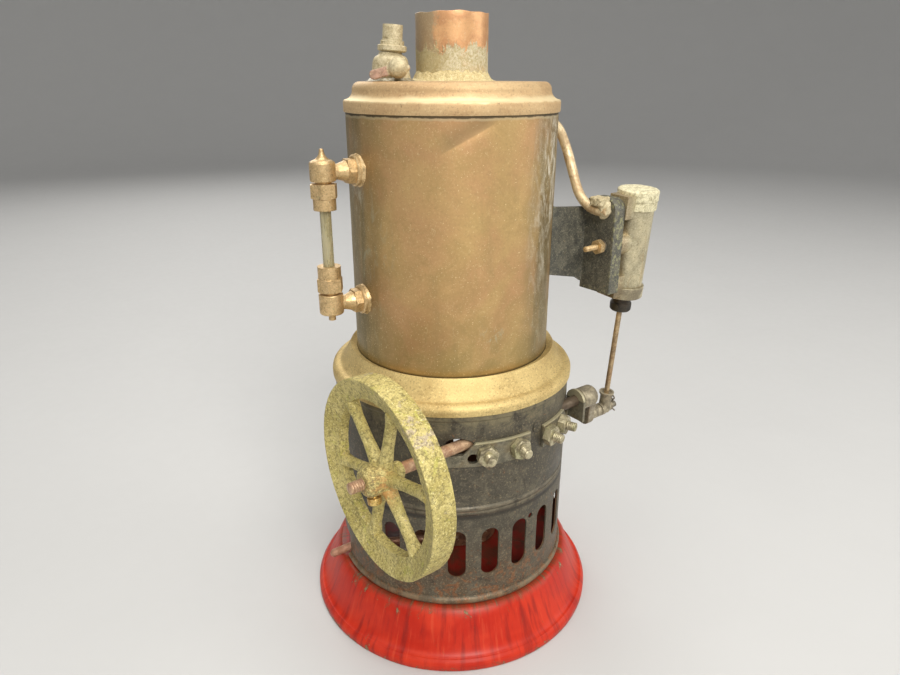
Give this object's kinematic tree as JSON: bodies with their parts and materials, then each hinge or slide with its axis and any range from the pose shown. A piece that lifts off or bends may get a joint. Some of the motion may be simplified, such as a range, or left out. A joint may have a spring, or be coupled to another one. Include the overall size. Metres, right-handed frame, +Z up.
{
  "type": "model steam engine",
  "caption": "Vertical model steam engine: spirit-fired boiler with chimney flue, oscillating cylinder, crankshaft with spoked flywheel, whistle and water gauge.",
  "frame": {"origin": "on the floor under the boiler axis, at the middle of the base", "axes": "+Z up along the boiler axis; +X along the crankshaft from the flywheel to the crank; +Y away from the crankshaft side"},
  "size_m": [0.1497, 0.1457, 0.2551],
  "materials": {
    "red_paint": "worn gloss",
    "firebox_black": "worn matte",
    "boiler_brass": "aged satin",
    "cap_brass": "aged satin",
    "flue_copper": "tarnished copper",
    "pipe_copper": "tarnished copper",
    "black_steel": "worn matte",
    "plated_steel": "worn plating",
    "bare_steel": "rust-stained",
    "wheel_iron": "olive paint",
    "cylinder_metal": "tarnished plating",
    "gauge_glass": "clouded",
    "packing": "greased cord",
    "wick_cord": "woven cord",
    "fitting_brass": "aged satin"
  },
  "bodies": {
    "engine": {"base": "red_paint", "firebox_shell": "firebox_black", "firebox_rivet": "firebox_black", "boiler_collar": "cap_brass", "boiler_barrel": "boiler_brass", "boiler_bottom_plate": "boiler_brass", "boiler_top_cap": "cap_brass", "chimney_flue": "flue_copper", "whistle_body": "fitting_brass", "whistle_collar": "fitting_brass", "whistle_bell": "fitting_brass", "gauge_upper_fitting": "fitting_brass", "gauge_lower_fitting": "fitting_brass", "gauge_upper_nut": "fitting_brass", "gauge_lower_nut": "fitting_brass", "gauge_glass": "gauge_glass", "gauge_packing": "packing", "gauge_drain_screw": "fitting_brass", "steam_pipe": "pipe_copper", "steam_pipe_flange": "fitting_brass", "steam_block": "fitting_brass", "cylinder_bracket": "black_steel", "flywheel_bearing_bracket": "plated_steel", "crank_bearing_bracket": "plated_steel", "bracket_bolts": "plated_steel", "bracket_nuts": "plated_steel"},
    "crank_assembly": {"crankshaft": "bare_steel", "flywheel": "wheel_iron", "flywheel_set_screw": "fitting_brass", "crank": "bare_steel"},
    "oscillating_cylinder": {"cylinder_barrel": "cylinder_metal", "cylinder_top_cap": "cylinder_metal", "cylinder_bottom_cap": "cylinder_metal", "gland_nut": "fitting_brass", "gland_packing": "packing", "pivot_stud": "fitting_brass", "pivot_spring": "bare_steel", "pivot_nut": "fitting_brass"},
    "piston_assembly": {"piston": "fitting_brass", "piston_packing": "packing", "piston_rod": "bare_steel", "rod_end": "bare_steel", "crank_pin": "bare_steel", "split_pin": "bare_steel"},
    "whistle_valve": {"whistle_lever": "pipe_copper", "whistle_plug_nut": "fitting_brass"},
    "burner": {"burner_tank": "pipe_copper", "wick_tubes": "pipe_copper", "wicks": "wick_cord", "filler_cap": "pipe_copper", "burner_handle": "pipe_copper"}
  },
  "joints": [
    {"name": "crankshaft_spin", "type": "hinge", "parent": "engine", "child": "crank_assembly", "pos_m": [0, -0.0425, 0.0999], "axis": [1, 0, 0], "continuous": true},
    {"name": "cylinder_swing", "type": "hinge", "parent": "engine", "child": "oscillating_cylinder", "pos_m": [0.052, -0.0425, 0.168], "axis": [1, 0, 0], "range_deg": [-17.18, 9.13]},
    {"name": "piston_slide", "type": "slide", "parent": "oscillating_cylinder", "child": "piston_assembly", "axis": [0, -0.0702, 0.9975], "range_m": [-0.00092, 0.03008]},
    {"name": "whistle_lever_turn", "type": "hinge", "parent": "engine", "child": "whistle_valve", "pos_m": [-0.02857, -0.00621, 0.2358], "axis": [0.6046, 0.7965, 0], "range_deg": [0, 75]},
    {"name": "burner_slide", "type": "slide", "parent": "engine", "child": "burner", "axis": [-0.866, 0.5, 0], "range_m": [0, 0.08]}
  ]
}
